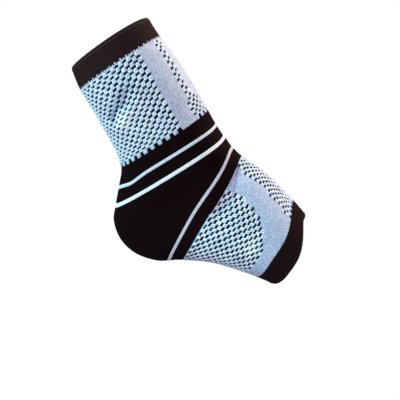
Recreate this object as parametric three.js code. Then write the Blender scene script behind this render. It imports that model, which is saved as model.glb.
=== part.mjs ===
import * as THREE from "three";

// Compression ankle sleeve. Millimetres, +Z up, +X towards the toes, -Y the outer side.
// The origin is the ankle centre, where the axis of the leg meets the axis of the foot.

// Driving sizes
const legLength = 156.5; // ankle centre to the leg rim, along the leg
const footLength = 84.5; // ankle centre to the toe rim, along the foot
const legLean = 30; // degrees that the leg leans back from upright
const footDrop = 21; // degrees that the foot falls below level
const legTip = 4; // degrees that a leg ring is tipped up at the front
const footTip = 6; // degrees that a foot ring leans to the toes at its top
const ankleDepth = 90; // front to back, just above the ankle bones
const ankleWidth = 72; // side to side, just above the ankle bones
const heelReach = 136; // instep crease to the back of the heel
const heelWidth = 68; // side to side through the heel
const instepDepth = 109; // top to sole where the foot panel starts
const forefootWidth = 88; // side to side at the toe cuff
const toeLead = 10; // how far the sides of a ring may run ahead of its top and sole

// Knitted zones, measured along the leg or the foot
const legCuffHeight = 19;
const bandHeight = 14.5; // upper black band, from the leg panel to the upper stripe
const stripeSpacing = 12.5; // upper stripe to middle stripe
const heelTop = 39; // ankle centre up to the middle stripe, where the heel starts to turn
const instepHeight = 10.8; // lower stripe, at the ankle centre, to the foot panel
const toeCuffHeight = 16;
const upperStripe = 2.6;
const middleStripe = 3;
const lowerStripe = 2.6;

// Fabric
const knitWall = 2.2;
const cuffWall = 3;
const rimRound = 0.9; // rounding of the two folded rims
const joinGap = 0.3; // kept between neighbouring knitted zones
const sectionFullness = 2.2; // 2 is an ellipse, more is squarer

// Mesh density
const segments = 36; // around the sleeve
const rowStep = 5; // along the sleeve

// Leg rings. up: share of the way from the middle stripe to the rim. front, back: shares of
// ankleDepth, from the leg axis. side: half width as a share of ankleWidth. egg: how far the
// widest place lies behind the middle, as a share of the half depth. lead: share of toeLead.
const legSections = [
  { up: 1.0, front: 0.423, back: 0.397, side: 0.53, egg: 0.0 },
  { up: 0.85, front: 0.437, back: 0.433, side: 0.53, egg: 0.0 },
  { up: 0.6, front: 0.487, back: 0.437, side: 0.515, egg: -0.03 },
  { up: 0.24, front: 0.501, back: 0.492, side: 0.485, egg: -0.08 },
  { up: 0.12, front: 0.501, back: 0.625, side: 0.49, egg: -0.14, lead: -0.14 },
  { up: 0.0, front: 0.511, back: 0.782, side: 0.5, egg: -0.2, lead: -0.15 },
];

// Heel rings, fanned about the instep crease. turn: share of the angle from the last leg ring
// to the first foot ring. crease: share of the way down the crease. reach: share of heelReach.
// side: half width as a share of heelWidth.
const heelSections = [
  { turn: 0.12, crease: 0.34, reach: 0.942, side: 0.53, egg: -0.22 },
  { turn: 0.36, crease: 0.54, reach: 1.0, side: 0.51, egg: -0.2 },
  { turn: 0.6, crease: 0.73, reach: 0.998, side: 0.5, egg: -0.15 },
  { turn: 0.87, crease: 0.88, reach: 0.936, side: 0.515, egg: -0.05 },
];

// Foot rings. along: share of footLength. front, back: shares of instepDepth, from the foot
// axis to the top and the sole. side: half width as a share of forefootWidth. lead and bow:
// shares of toeLead by which a ring runs ahead at its sides, and between its top and its sides.
const footSections = [
  { along: 0.0, front: 0.53, back: 0.567, side: 0.41, egg: 0.02, lead: -0.12, bow: 0.25 },
  { along: 0.105, front: 0.498, back: 0.503, side: 0.43, egg: 0.08, lead: 0.0, bow: 0.15 },
  { along: 0.393, front: 0.449, back: 0.376, side: 0.475, egg: 0.15, lead: 0.27, bow: 0.08 },
  { along: 0.609, front: 0.383, back: 0.326, side: 0.495, egg: 0.18, lead: 0.45, bow: 0.15 },
  { along: 0.815, front: 0.309, back: 0.302, side: 0.5, egg: 0.18, lead: 0.5, bow: 0.3 },
  { along: 1.0, front: 0.238, back: 0.3, side: 0.485, egg: 0.15, lead: 0.62, bow: 0.2 },
];

// Dents in the outer side. place: share of the way from the middle stripe to the leg rim, or
// from the ankle centre to the toe rim. round: degrees from the front. Each is given for the
// two ends of the dent. Width and depth are shares of ankleDepth; a swelling has a negative
// depth.
const dents = [
  { part: "leg", place: [0.55, 0.63], round: [118, 86], width: 0.055, depth: 0.028 },
  { part: "leg", place: [0.48, 0.51], round: [116, 94], width: 0.07, depth: -0.018 },
  { part: "foot", place: [0.165, 0.175], round: [28, 72], width: 0.06, depth: 0.02 },
];

const radians = THREE.MathUtils.degToRad;
const lerp = THREE.MathUtils.lerp;
const planeVector = (degrees) =>
  new THREE.Vector3(Math.cos(radians(degrees)), 0, Math.sin(radians(degrees)));

const legUp = planeVector(90 + legLean);
const footOut = planeVector(-footDrop);
const legAcross = planeVector(legLean + legTip); // from the back of a leg ring to its front
const footAcross = planeVector(90 - footDrop - footTip); // from the sole to the top

// Each section becomes a front point, a back point, a girth of half width, egg and lead, and
// its bow.
function straightSection(centre, across, depth, row, width) {
  return {
    front: centre.clone().addScaledVector(across, row.front * depth),
    back: centre.clone().addScaledVector(across, -row.back * depth),
    girth: new THREE.Vector3(row.side * width, row.egg, (row.lead ?? 0) * toeLead),
    bow: new THREE.Vector3((row.bow ?? 0) * toeLead, 0, 0),
  };
}

function legSection(row) {
  const centre = legUp.clone().multiplyScalar(lerp(heelTop, legLength, row.up));
  return straightSection(centre, legAcross, ankleDepth, row, ankleWidth);
}

function footSection(row) {
  const centre = footOut.clone().multiplyScalar(row.along * footLength);
  return straightSection(centre, footAcross, instepDepth, row, forefootWidth);
}

function heelSection(row, lastLeg, firstFoot) {
  const front = lastLeg.front.clone().lerp(firstFoot.front, row.crease);
  const toBack = planeVector(lerp(legLean + legTip, 90 - footDrop - footTip, row.turn));
  const back = front.clone().addScaledVector(toBack, -row.reach * heelReach);
  const girth = new THREE.Vector3(row.side * heelWidth, row.egg, 0);
  return { front, back, girth, bow: new THREE.Vector3() };
}

const legRings = legSections.map(legSection);
const footRings = footSections.map(footSection);
const heelRings = heelSections.map((row) => heelSection(row, legRings.at(-1), footRings[0]));
const rings = [...legRings, ...heelRings, ...footRings];
const lastStation = rings.length - 1;

const frontLine = new THREE.CatmullRomCurve3(rings.map((ring) => ring.front));
const backLine = new THREE.CatmullRomCurve3(rings.map((ring) => ring.back));
const evenCurve = (points) => new THREE.CatmullRomCurve3(points, false, "catmullrom", 0.5);
const girthLine = evenCurve(rings.map((ring) => ring.girth));
const bowLine = evenCurve(rings.map((ring) => ring.bow));

// A station counts rings: 0 at the leg rim, lastStation at the toe rim.
function stationOf(shares, share) {
  const rising = shares[1] > shares[0];
  const next = shares.findIndex((value) => (rising ? value >= share : value <= share));
  const end = next < 1 ? 1 : next;
  return end - 1 + (share - shares[end - 1]) / (shares[end] - shares[end - 1]);
}

function legStation(distance) {
  const share = (distance - heelTop) / (legLength - heelTop);
  return stationOf(legSections.map((row) => row.up), share);
}

function footStation(distance) {
  const first = legSections.length + heelSections.length;
  return first + stationOf(footSections.map((row) => row.along), distance / footLength);
}

const power = (value) => Math.sign(value) * Math.abs(value) ** (2 / sectionFullness);

// Axis direction at a station, square to its ring and towards the toes.
function ringNormal(station) {
  const front = frontLine.getPoint(station / lastStation);
  const back = backLine.getPoint(station / lastStation);
  const across = front.sub(back).normalize();
  return new THREE.Vector3(across.z, 0, -across.x);
}

// The skin without its dents. The angle starts at the front and runs over the outer side.
function skinPoint(station, angle) {
  const share = station / lastStation;
  const front = frontLine.getPoint(share);
  const back = backLine.getPoint(share);
  const girth = girthLine.getPoint(share);
  const sine = Math.sin(angle);
  const across = power(Math.cos(angle)) - girth.y * sine * sine;
  const point = back.lerp(front, (1 + across) / 2);
  point.y = -girth.x * power(sine);
  const bow = Math.cos(angle) > 0 ? bowLine.getPoint(share).x * Math.sin(2 * angle) ** 2 : 0;
  return point.addScaledVector(ringNormal(station), girth.z * sine * sine + bow);
}

function skinNormal(station, angle) {
  const step = 0.01;
  const low = Math.max(station - step, 0);
  const high = Math.min(station + step, lastStation);
  const along = skinPoint(high, angle).sub(skinPoint(low, angle));
  const around = skinPoint(station, angle + step).sub(skinPoint(station, angle - step));
  return around.cross(along).normalize();
}

function dentStation(dent, end) {
  if (dent.part === "leg") return legStation(lerp(heelTop, legLength, dent.place[end]));
  return footStation(dent.place[end] * footLength);
}

const dentPlaces = dents.map((dent) => {
  const ends = [0, 1].map((end) => skinPoint(dentStation(dent, end), radians(dent.round[end])));
  return {
    line: new THREE.Line3(...ends),
    width: dent.width * ankleDepth,
    depth: dent.depth * ankleDepth,
  };
});

function dentDepth(point) {
  const nearest = new THREE.Vector3();
  let depth = 0;
  for (const dent of dentPlaces) {
    dent.line.closestPointToPoint(point, true, nearest);
    depth += dent.depth * Math.exp(-((nearest.distanceTo(point) / dent.width) ** 2));
  }
  return depth;
}

// Walks along the skin from a ring until it lies `lead` ahead of the plane of that ring.
function stationAhead(station, angle, lead) {
  const normal = ringNormal(station);
  const start = skinPoint(station, angle);
  const probe = 0.05;
  let found = station;
  for (let pass = 0; pass < 6; pass += 1) {
    const here = skinPoint(found, angle).sub(start).dot(normal);
    const there = skinPoint(found + probe, angle).sub(start).dot(normal);
    found += (lead - here) * probe / (there - here);
  }
  return found;
}

// A knitted zone is a closed ring of cloth between two edges. An edge is a station and how far
// the zone starts or stops ahead of it. roundStart and roundEnd turn a rim in.
function knittedZone({ from, to, wall, roundStart = false, roundEnd = false }) {
  const side = Math.PI / 2;
  const length = skinPoint(from.station, side).distanceTo(skinPoint(to.station, side));
  const rows = Math.max(1, Math.round(length / rowStep));
  const shares = Array.from({ length: rows + 1 }, (unused, row) => row / rows);
  if (roundStart) shares.splice(1, 0, rimRound / length);
  if (roundEnd) shares.splice(-1, 0, 1 - rimRound / length);
  const outer = [];
  const inner = [];
  for (let segment = 0; segment < segments; segment += 1) {
    const angle = 2 * Math.PI * segment / segments;
    const start = stationAhead(from.station, angle, from.lead);
    const end = stationAhead(to.station, angle, to.lead);
    shares.forEach((share, row) => {
      const station = lerp(start, end, share);
      const normal = skinNormal(station, angle);
      const skin = skinPoint(station, angle);
      const rim = (roundStart && row === 0) || (roundEnd && row === shares.length - 1);
      const inset = dentDepth(skin) + (rim ? rimRound : 0);
      const lining = dentDepth(skin) + wall - (rim ? rimRound : 0);
      outer.push(skin.clone().addScaledVector(normal, -inset));
      inner.push(skin.clone().addScaledVector(normal, -lining));
    });
  }
  return closedRing(outer, inner, shares.length);
}

function closedRing(outer, inner, rows) {
  const faces = [];
  const quad = (a, b, c, d) => faces.push(a, b, d, b, c, d);
  const at = (layer, segment, row) =>
    layer * outer.length + (segment % segments) * rows + row;
  for (let segment = 0; segment < segments; segment += 1) {
    const next = segment + 1;
    for (let row = 0; row < rows - 1; row += 1) {
      quad(at(0, segment, row), at(0, next, row), at(0, next, row + 1), at(0, segment, row + 1));
      quad(at(1, next, row), at(1, segment, row), at(1, segment, row + 1), at(1, next, row + 1));
    }
    quad(at(0, segment, 0), at(1, segment, 0), at(1, next, 0), at(0, next, 0));
    const last = rows - 1;
    quad(at(0, next, last), at(1, next, last), at(1, segment, last), at(0, segment, last));
  }
  const geometry = new THREE.BufferGeometry();
  geometry.setFromPoints([...outer, ...inner]);
  geometry.setIndex(faces);
  geometry.computeVertexNormals();
  return geometry;
}

// Edges between the zones, from the leg rim to the toe rim
const upperStripeUp = heelTop + stripeSpacing;
const legPanelEnd = upperStripeUp + bandHeight;
const seams = {
  legRim: { station: 0 },
  cuffEdge: { station: legStation(legLength - legCuffHeight) },
  bandTop: { station: legStation(legPanelEnd) },
  upperStripe: { station: legStation(upperStripeUp), stripe: upperStripe },
  middleStripe: { station: legStation(heelTop), stripe: middleStripe },
  lowerStripe: { station: footStation(0), stripe: lowerStripe },
  footPanelTop: { station: footStation(instepHeight) },
  toeCuffEdge: { station: footStation(footLength - toeCuffHeight) },
  toeRim: { station: lastStation },
};

// A zone stops short of a seam by half the gap, and of a stripe by half its width as well.
const startAfter = ({ station, stripe }) => ({
  station,
  lead: stripe ? (stripe + joinGap) / 2 : joinGap / 2,
});
const stopBefore = ({ station, stripe }) => ({
  station,
  lead: stripe ? -(stripe + joinGap) / 2 : -joinGap / 2,
});
const atRim = ({ station }) => ({ station, lead: 0 });

const colours = {
  cuffBlack: { color: 0x261b1c, roughness: 0.95, metalness: 0 },
  bandBlack: { color: 0x160e10, roughness: 0.95, metalness: 0 },
  paleBlue: { color: 0xbfd0e6, roughness: 0.9, metalness: 0 },
  stripeBlue: { color: 0xc8d7f0, roughness: 0.85, metalness: 0 },
  stripeWhite: { color: 0xe4edf2, roughness: 0.85, metalness: 0 },
  stripeGrey: { color: 0xa5a0af, roughness: 0.85, metalness: 0 },
};

const sleeve = new THREE.Group();

function addPiece(name, geometry, colour) {
  const piece = new THREE.Mesh(geometry, new THREE.MeshStandardMaterial(colours[colour]));
  piece.name = name;
  sleeve.add(piece);
}

function addZone(name, from, to, colour) {
  const edges = { from: startAfter(from), to: stopBefore(to) };
  addPiece(name, knittedZone({ ...edges, wall: knitWall }), colour);
}

function addStripe(name, { station, stripe }, colour) {
  const lead = (stripe - joinGap) / 2;
  const edges = { from: { station, lead: -lead }, to: { station, lead } };
  addPiece(name, knittedZone({ ...edges, wall: knitWall }), colour);
}

const legCuff = knittedZone({
  from: atRim(seams.legRim), to: stopBefore(seams.cuffEdge), wall: cuffWall, roundStart: true,
});
const toeCuff = knittedZone({
  from: startAfter(seams.toeCuffEdge), to: atRim(seams.toeRim), wall: cuffWall, roundEnd: true,
});

addPiece("leg_cuff", legCuff, "cuffBlack");
addZone("leg_panel", seams.cuffEdge, seams.bandTop, "paleBlue");
addZone("ankle_band_upper", seams.bandTop, seams.upperStripe, "bandBlack");
addStripe("stripe_upper", seams.upperStripe, "stripeBlue");
addZone("ankle_band_lower", seams.upperStripe, seams.middleStripe, "bandBlack");
addStripe("stripe_middle", seams.middleStripe, "stripeWhite");
addZone("heel_pocket", seams.middleStripe, seams.lowerStripe, "bandBlack");
addStripe("stripe_lower", seams.lowerStripe, "stripeGrey");
addZone("instep_band", seams.lowerStripe, seams.footPanelTop, "bandBlack");
addZone("foot_panel", seams.footPanelTop, seams.toeCuffEdge, "paleBlue");
addPiece("toe_cuff", toeCuff, "cuffBlack");

export default sleeve;
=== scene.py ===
import math

import bmesh
import bpy
import numpy as np
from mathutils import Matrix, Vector


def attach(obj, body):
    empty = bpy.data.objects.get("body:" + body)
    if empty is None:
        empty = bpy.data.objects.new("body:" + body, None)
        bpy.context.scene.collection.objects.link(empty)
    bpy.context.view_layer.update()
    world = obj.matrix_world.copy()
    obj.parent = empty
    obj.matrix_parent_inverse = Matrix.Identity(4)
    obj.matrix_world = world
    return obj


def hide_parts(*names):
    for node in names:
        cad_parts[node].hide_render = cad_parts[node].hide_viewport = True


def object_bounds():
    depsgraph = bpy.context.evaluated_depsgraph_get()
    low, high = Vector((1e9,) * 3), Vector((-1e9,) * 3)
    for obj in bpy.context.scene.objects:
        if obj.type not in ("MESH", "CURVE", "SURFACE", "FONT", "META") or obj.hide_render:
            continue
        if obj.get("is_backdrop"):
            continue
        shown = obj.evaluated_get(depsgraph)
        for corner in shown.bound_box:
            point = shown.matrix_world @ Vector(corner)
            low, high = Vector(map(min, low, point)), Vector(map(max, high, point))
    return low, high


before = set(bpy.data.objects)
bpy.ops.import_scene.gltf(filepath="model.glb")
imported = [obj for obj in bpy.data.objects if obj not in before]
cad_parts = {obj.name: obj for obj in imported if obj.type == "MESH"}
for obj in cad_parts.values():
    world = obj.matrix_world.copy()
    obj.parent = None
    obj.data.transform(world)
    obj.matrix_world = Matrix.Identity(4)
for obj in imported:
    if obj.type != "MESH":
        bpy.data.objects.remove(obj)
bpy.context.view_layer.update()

mm = 0.001
print("frame loaded")


# Camera, view and studio

cameraSetup = {
    "azimuth": 12,  # degrees round from straight at the outer side
    "elevation": 21,
    "distance": 0.54,
    "target": (-0.001, 0.0, 0.003),
    "lens": 55.2,
    "sensor": 36,
}


def addCamera(setup):
    turn, rise = math.radians(setup["azimuth"]), math.radians(setup["elevation"])
    back = Vector((
        math.sin(turn) * math.cos(rise), -math.cos(turn) * math.cos(rise), math.sin(rise),
    ))
    data = bpy.data.cameras.new("camera")
    data.lens = setup["lens"]
    data.sensor_width = setup["sensor"]
    camera = bpy.data.objects.new("camera", data)
    camera.location = Vector(setup["target"]) + back * setup["distance"]
    camera.rotation_euler = back.to_track_quat("Z", "Y").to_euler()
    bpy.context.scene.collection.objects.link(camera)
    bpy.context.scene.camera = camera


addCamera(cameraSetup)
bpy.context.scene.view_settings.view_transform = "Standard"

studio = {
    "skyLight": (0.90, 0.95, 1.0),  # soft cool light from all round
    "skyStrength": 0.57,
    "backdrop": (1.0, 1.0, 1.0),
    "lamps": [
        # name, place, width, power in watts, colour
        ("key_lamp", (-0.95, -0.62, 0.62), 0.6, 17.8, (0.66, 1.0, 1.0)),
        ("fill_lamp", (0.90, -0.85, 0.05), 0.9, 4.6, (1.0, 0.95, 0.93)),
        ("rim_lamp", (0.62, 0.80, 0.85), 0.6, 25.0, (1.0, 0.80, 0.64)),
    ],
    "floorDrop": 0.3,  # the sleeve is held up this far above the floor
    "floorSize": 60.0,
    "floorBounce": (0.30, 0.30, 0.38),  # what the floor throws back on to the sleeve
}


def addSky(setup):
    world = bpy.data.worlds.new("studio_sky")
    bpy.context.scene.world = world
    world.use_nodes = True
    nodes, links = world.node_tree.nodes, world.node_tree.links
    nodes.clear()
    output = nodes.new("ShaderNodeOutputWorld")
    blend = nodes.new("ShaderNodeMixShader")
    path = nodes.new("ShaderNodeLightPath")
    soft = nodes.new("ShaderNodeBackground")
    soft.inputs["Color"].default_value = (*setup["skyLight"], 1)
    soft.inputs["Strength"].default_value = setup["skyStrength"]
    plain = nodes.new("ShaderNodeBackground")
    plain.inputs["Color"].default_value = (*setup["backdrop"], 1)
    links.new(path.outputs["Is Camera Ray"], blend.inputs[0])
    links.new(soft.outputs[0], blend.inputs[1])
    links.new(plain.outputs[0], blend.inputs[2])
    links.new(blend.outputs[0], output.inputs["Surface"])


def addLamp(name, place, width, power, colour):
    data = bpy.data.lights.new(name, "AREA")
    data.shape = "DISK"
    data.size = width
    data.energy = power
    data.color = colour
    lamp = bpy.data.objects.new(name, data)
    lamp.location = place
    lamp.rotation_euler = Vector(place).to_track_quat("Z", "Y").to_euler()
    bpy.context.scene.collection.objects.link(lamp)


addSky(studio)
for lampRow in studio["lamps"]:
    addLamp(*lampRow)
print("camera and lamps placed")


# Node helpers

def linear(red, green, blue):
    # screen colour from 0 to 255 as the linear colour a shader takes
    def channel(value):
        value /= 255
        return value / 12.92 if value <= 0.04045 else ((value + 0.055) / 1.055) ** 2.4
    return (channel(red), channel(green), channel(blue), 1.0)


class NodeSheet:
    # a material's node tree with short calls for the nodes used here
    def __init__(self, name):
        self.material = bpy.data.materials.new(name)
        self.material.use_nodes = True
        self.tree = self.material.node_tree
        self.tree.nodes.clear()
        self.shader = self.add("ShaderNodeBsdfPrincipled")
        self.output = self.add("ShaderNodeOutputMaterial")
        self.link(self.shader.outputs[0], self.output.inputs["Surface"])

    def add(self, kind):
        return self.tree.nodes.new(kind)

    def link(self, source, target):
        self.tree.links.new(source, target)

    def feed(self, socket, value):
        if isinstance(value, (int, float, tuple)):
            socket.default_value = value
        else:
            self.link(value, socket)

    def math(self, operation, *values):
        node = self.add("ShaderNodeMath")
        node.operation = operation
        for socket, value in zip(node.inputs, values):
            self.feed(socket, value)
        return node.outputs[0]

    def hump(self, value):
        # 1 where the value is a half, down to 0 at 0 and at 1
        value = self.math("MULTIPLY_ADD", value, 2.0, -1.0)
        return self.math("SUBTRACT", 1.0, self.math("MULTIPLY", value, value))

    def smooth(self, value, low, high):
        node = self.add("ShaderNodeMapRange")
        node.interpolation_type = "SMOOTHSTEP"
        self.feed(node.inputs["Value"], value)
        node.inputs["From Min"].default_value = low
        node.inputs["From Max"].default_value = high
        return node.outputs["Result"]

    def mix(self, factor, first, second, blendType="MIX"):
        node = self.add("ShaderNodeMix")
        node.data_type = "RGBA"
        node.blend_type = blendType
        self.feed(node.inputs["Factor"], factor)
        self.feed(node.inputs[6], first)
        self.feed(node.inputs[7], second)
        return node.outputs[2]

    def noise(self, scale, detail=2.0, seed=0.0):
        place = self.add("ShaderNodeTexCoord")
        shift = self.add("ShaderNodeMapping")
        shift.inputs["Location"].default_value = (seed, seed, seed)
        self.link(place.outputs["Object"], shift.inputs["Vector"])
        node = self.add("ShaderNodeTexNoise")
        node.inputs["Scale"].default_value = scale
        node.inputs["Detail"].default_value = detail
        self.link(shift.outputs[0], node.inputs["Vector"])
        return node.outputs["Fac"]

    def attribute(self, name):
        node = self.add("ShaderNodeAttribute")
        node.attribute_name = name
        return node.outputs["Fac"]

    def knitPlace(self):
        # the knit map: u counts eyelet repeats round the sleeve, v counts eyelet rows along it
        place = self.add("ShaderNodeUVMap")
        place.uv_map = "knit"
        split = self.add("ShaderNodeSeparateXYZ")
        self.link(place.outputs[0], split.inputs[0])
        return split.outputs[0], split.outputs[1]


# Shape of the sleeve, the same skin that the CAD solids follow, in metres

sleeve = {
    "legLength": 156.5 * mm,
    "footLength": 84.5 * mm,
    "legLean": 30,
    "footDrop": 21,
    "legTip": 4,
    "footTip": 6,
    "ankleDepth": 90 * mm,
    "ankleWidth": 72 * mm,
    "heelReach": 136 * mm,
    "heelWidth": 68 * mm,
    "instepDepth": 109 * mm,
    "forefootWidth": 88 * mm,
    "toeLead": 10 * mm,
    "legCuffHeight": 19 * mm,
    "bandHeight": 14.5 * mm,
    "stripeSpacing": 12.5 * mm,
    "heelTop": 39 * mm,
    "instepHeight": 10.8 * mm,
    "toeCuffHeight": 16 * mm,
    "upperStripe": 2.6 * mm,
    "middleStripe": 3.0 * mm,
    "lowerStripe": 2.6 * mm,
    "knitWall": 2.2 * mm,
    "cuffWall": 3 * mm,
    "fullness": 2.2,
}
legSections = [
    {"up": 1.0, "front": 0.423, "back": 0.397, "side": 0.53, "egg": 0.0},
    {"up": 0.85, "front": 0.437, "back": 0.433, "side": 0.53, "egg": 0.0},
    {"up": 0.6, "front": 0.487, "back": 0.437, "side": 0.515, "egg": -0.03},
    {"up": 0.24, "front": 0.501, "back": 0.492, "side": 0.485, "egg": -0.08},
    {"up": 0.12, "front": 0.501, "back": 0.625, "side": 0.49, "egg": -0.14, "lead": -0.14},
    {"up": 0.0, "front": 0.511, "back": 0.782, "side": 0.5, "egg": -0.2, "lead": -0.15},
]
heelSections = [
    {"turn": 0.12, "crease": 0.34, "reach": 0.942, "side": 0.53, "egg": -0.22},
    {"turn": 0.36, "crease": 0.54, "reach": 1.0, "side": 0.51, "egg": -0.2},
    {"turn": 0.6, "crease": 0.73, "reach": 0.998, "side": 0.5, "egg": -0.15},
    {"turn": 0.87, "crease": 0.88, "reach": 0.936, "side": 0.515, "egg": -0.05},
]
footSections = [
    {"along": 0.0, "front": 0.53, "back": 0.567, "side": 0.41, "egg": 0.02, "lead": -0.12, "bow": 0.25},
    {"along": 0.105, "front": 0.498, "back": 0.503, "side": 0.43, "egg": 0.08, "lead": 0.0, "bow": 0.15},
    {"along": 0.393, "front": 0.449, "back": 0.376, "side": 0.475, "egg": 0.15, "lead": 0.27, "bow": 0.08},
    {"along": 0.609, "front": 0.383, "back": 0.326, "side": 0.495, "egg": 0.18, "lead": 0.45, "bow": 0.15},
    {"along": 0.815, "front": 0.309, "back": 0.302, "side": 0.5, "egg": 0.18, "lead": 0.5, "bow": 0.3},
    {"along": 1.0, "front": 0.238, "back": 0.3, "side": 0.485, "egg": 0.15, "lead": 0.62, "bow": 0.2},
]
# lines with a hollow or a swelling along them: places as shares of the leg or the foot, degrees
# round, width and depth as shares of the ankle's depth
dents = [
    {"part": "leg", "place": (0.55, 0.63), "round": (118, 86), "width": 0.055, "depth": 0.028},
    {"part": "leg", "place": (0.48, 0.51), "round": (116, 94), "width": 0.07, "depth": -0.018},
    {"part": "foot", "place": (0.165, 0.175), "round": (28, 72), "width": 0.06, "depth": 0.02},
]


def planeVector(degrees):
    return np.array([math.cos(math.radians(degrees)), 0.0, math.sin(math.radians(degrees))])


def lerp(first, second, share):
    return first + (second - first) * share


legRingTurn = sleeve["legLean"] + sleeve["legTip"]
footRingTurn = 90 - sleeve["footDrop"] - sleeve["footTip"]


def sleeveRings():
    fronts, backs, girths = [], [], []

    def addStraight(centre, across, depth, row, width):
        fronts.append(centre + across * row["front"] * depth)
        backs.append(centre - across * row["back"] * depth)
        ahead = [row.get(key, 0) * sleeve["toeLead"] for key in ("lead", "bow")]
        girths.append((row["side"] * width, row["egg"], *ahead))

    for row in legSections:
        distance = lerp(sleeve["heelTop"], sleeve["legLength"], row["up"])
        centre = planeVector(90 + sleeve["legLean"]) * distance
        addStraight(centre, planeVector(legRingTurn), sleeve["ankleDepth"], row, sleeve["ankleWidth"])
    creaseTop = fronts[-1]
    footAcross = planeVector(footRingTurn)
    creaseEnd = footAcross * footSections[0]["front"] * sleeve["instepDepth"]
    for row in heelSections:
        front = lerp(creaseTop, creaseEnd, row["crease"])
        toBack = planeVector(lerp(legRingTurn, footRingTurn, row["turn"]))
        fronts.append(front)
        backs.append(front - toBack * row["reach"] * sleeve["heelReach"])
        girths.append((row["side"] * sleeve["heelWidth"], row["egg"], 0, 0))
    for row in footSections:
        centre = planeVector(-sleeve["footDrop"]) * row["along"] * sleeve["footLength"]
        addStraight(centre, footAcross, sleeve["instepDepth"], row, sleeve["forefootWidth"])
    return np.array(fronts), np.array(backs), np.array(girths)


def splineThrough(points, centripetal):
    # Catmull-Rom curve that passes each point at its own whole number
    last = len(points) - 1
    padded = np.vstack([2 * points[0] - points[1], points, 2 * points[-1] - points[-2]])

    def at(station):
        station = np.asarray(station, float)
        index = np.clip(np.floor(station).astype(int), 0, last - 1)
        share = (station - index)[..., None]
        p0, p1, p2, p3 = (padded[index + step] for step in range(4))
        if centripetal:
            d0, d1, d2 = (
                np.sqrt(np.linalg.norm(b - a, axis=-1, keepdims=True))
                for a, b in ((p0, p1), (p1, p2), (p2, p3))
            )
            t1 = ((p1 - p0) / d0 - (p2 - p0) / (d0 + d1) + (p2 - p1) / d1) * d1
            t2 = ((p2 - p1) / d1 - (p3 - p1) / (d1 + d2) + (p3 - p2) / d2) * d1
        else:
            t1, t2 = (p2 - p0) / 2, (p3 - p1) / 2
        square = (-3 * p1 + 3 * p2 - 2 * t1 - t2) * share ** 2
        cube = (2 * p1 - 2 * p2 + t1 + t2) * share ** 3
        return p1 + t1 * share + square + cube

    return at


ringFronts, ringBacks, ringGirths = sleeveRings()
frontLine = splineThrough(ringFronts, True)
backLine = splineThrough(ringBacks, True)
girthLine = splineThrough(ringGirths, False)
lastStation = len(ringFronts) - 1


def stationOf(shares, share):
    order = np.argsort(shares)
    return float(np.interp(share, np.array(shares)[order], np.arange(len(shares))[order]))


def legStation(distance):
    share = (distance - sleeve["heelTop"]) / (sleeve["legLength"] - sleeve["heelTop"])
    return stationOf([row["up"] for row in legSections], share)


def footStation(distance):
    first = len(legSections) + len(heelSections)
    return first + stationOf([row["along"] for row in footSections], distance / sleeve["footLength"])


def fullPower(value):
    return np.sign(value) * np.abs(value) ** (2 / sleeve["fullness"])


def unit(vectors):
    return vectors / np.linalg.norm(vectors, axis=-1, keepdims=True)


def ringNormal(station):
    across = unit(frontLine(station) - backLine(station))
    return np.stack([across[..., 2], 0 * across[..., 1], -across[..., 0]], axis=-1)


def skinPoint(station, angle):
    # angle 0 is the front midline, and it runs over the outer side
    front, back, girth = frontLine(station), backLine(station), girthLine(station)
    sine = np.sin(angle)
    across = fullPower(np.cos(angle)) - girth[..., 1] * sine ** 2
    point = back + (front - back) * ((1 + across) / 2)[..., None]
    point[..., 1] = -girth[..., 0] * fullPower(sine)
    bow = np.where(np.cos(angle) > 0, girth[..., 3] * np.sin(2 * angle) ** 2, 0)
    return point + ringNormal(station) * (girth[..., 2] * sine ** 2 + bow)[..., None]


def skinNormal(station, angle):
    step = 0.01
    along = skinPoint(station + step, angle) - skinPoint(station - step, angle)
    around = skinPoint(station, angle + step) - skinPoint(station, angle - step)
    return unit(np.cross(around, along))


def stationAhead(station, angle, lead):
    # walks along the skin until it lies lead metres ahead of the ring at this station
    normal, start = ringNormal(station), skinPoint(station, angle)
    probe = 0.05
    found = station + 0 * angle
    for _ in range(6):
        here = np.sum((skinPoint(found, angle) - start) * normal, axis=-1)
        there = np.sum((skinPoint(found + probe, angle) - start) * normal, axis=-1)
        found = found + (lead - here) * probe / (there - here)
    return found


def dentLines():
    lines = []
    for dent in dents:
        ends = []
        for place, degrees in zip(dent["place"], dent["round"]):
            if dent["part"] == "leg":
                station = legStation(lerp(sleeve["heelTop"], sleeve["legLength"], place))
            else:
                station = footStation(place * sleeve["footLength"])
            ends.append(skinPoint(np.array(station), np.array(math.radians(degrees))))
        width, depth = dent["width"] * sleeve["ankleDepth"], dent["depth"] * sleeve["ankleDepth"]
        lines.append((ends[0], ends[1], width, depth))
    return lines


dentPlaces = dentLines()


def dentDepth(points):
    depth = np.zeros(points.shape[:-1])
    for start, end, width, deep in dentPlaces:
        run = end - start
        share = np.clip((points - start) @ run / (run @ run), 0, 1)
        distance = np.linalg.norm(points - start - share[..., None] * run, axis=-1)
        depth += deep * np.exp(-(distance / width) ** 2)
    return depth


def ringAngles(station, shares):
    # angles that stand at equal shares of the way round a ring, from the front
    angles = np.linspace(0, 2 * math.pi, 721)
    points = skinPoint(np.full(angles.shape, station), angles)
    arc = np.concatenate([[0], np.cumsum(np.linalg.norm(np.diff(points, axis=0), axis=1))])
    return np.interp(shares, arc / arc[-1], angles)


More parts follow.
